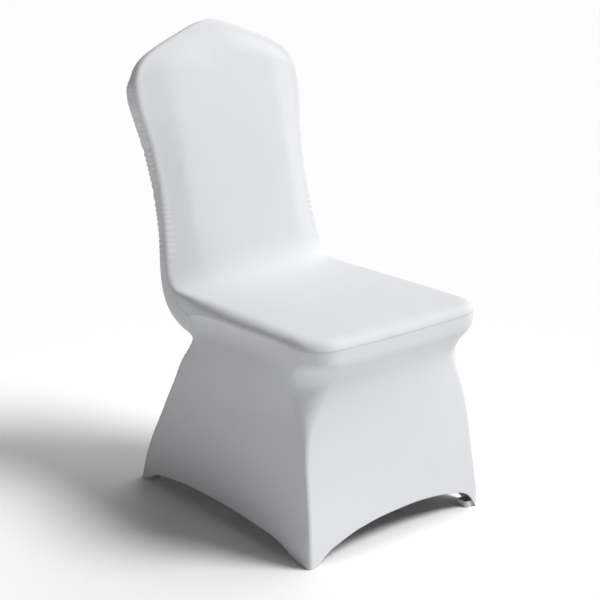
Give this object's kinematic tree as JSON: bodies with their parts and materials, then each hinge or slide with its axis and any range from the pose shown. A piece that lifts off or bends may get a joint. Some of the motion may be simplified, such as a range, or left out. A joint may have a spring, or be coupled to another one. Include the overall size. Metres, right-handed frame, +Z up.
{
  "type": "spandex banquet chair cover",
  "caption": "White stretch cover for a banquet chair: seat and back panels, flared skirts with arched hems, and pockets for the feet.",
  "frame": {"origin": "on the floor, under the middle of the cover's box", "axes": "+Z up, front of the seat towards -Y, +X to the right as the cover is seen from the front"},
  "size_m": [0.459, 0.63, 0.9623],
  "materials": {
    "stretch_knit": "matt stretch knit with a slight sheen",
    "pocket_knit": "doubled matt knit"
  },
  "bodies": {
    "root": {"front_seat_panel": "stretch_knit", "back_panel": "stretch_knit", "skirt_front": "stretch_knit", "skirt_left": "stretch_knit", "skirt_right": "stretch_knit", "foot_pocket_front_left": "pocket_knit", "foot_pocket_front_right": "pocket_knit", "foot_pocket_rear_left": "pocket_knit", "foot_pocket_rear_right": "pocket_knit"}
  },
  "joints": []
}
